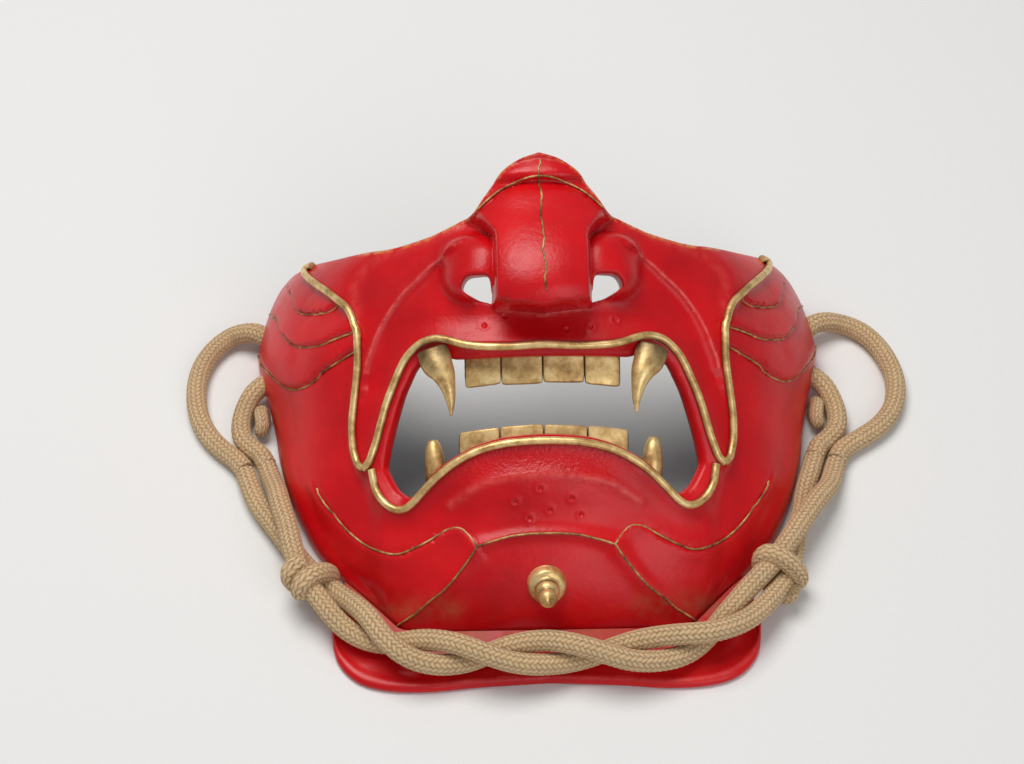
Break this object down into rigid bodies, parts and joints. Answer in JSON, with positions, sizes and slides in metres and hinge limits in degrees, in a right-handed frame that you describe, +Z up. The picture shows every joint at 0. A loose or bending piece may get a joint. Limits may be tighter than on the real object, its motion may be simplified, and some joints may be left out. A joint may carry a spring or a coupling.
{
  "type": "samurai face guard",
  "caption": "Fierce-faced half mask for nose, cheeks and jaw, red lacquer with gilt lips, teeth and fangs, a flared neck flange and a braided tie cord.",
  "frame": {"origin": "middle of the guard's footprint on the table, measured without the free ear cords", "axes": "+X to the wearer's left as the guard faces up, +Y towards the nose bridge, +Z up from the table"},
  "size_m": [0.2192, 0.142, 0.0885],
  "materials": {
    "red_lacquer": "satin",
    "gilt": "satin",
    "cord": "matte"
  },
  "bodies": {
    "root": {"mask_shell": "red_lacquer", "neck_flange": "red_lacquer", "upper_rim_trim": "gilt", "lower_rim_trim": "gilt", "upper_teeth": "gilt", "lower_teeth": "gilt", "upper_fang_left": "gilt", "upper_fang_right": "gilt", "lower_fang_left": "gilt", "lower_fang_right": "gilt", "chin_stud": "gilt", "jaw_strand_front": "cord", "jaw_strand_rear": "cord", "jaw_knot_left": "cord", "side_strand_outer_left": "cord", "side_strand_inner_left": "cord", "jaw_knot_right": "cord", "side_strand_outer_right": "cord", "side_strand_inner_right": "cord", "ear_loop_left": "cord", "inner_loop_left": "cord", "end_knot_left": "cord", "tie_knot_left": "cord", "ear_loop_right": "cord", "inner_loop_right": "cord", "end_knot_right": "cord", "tie_knot_right": "cord"}
  },
  "joints": []
}
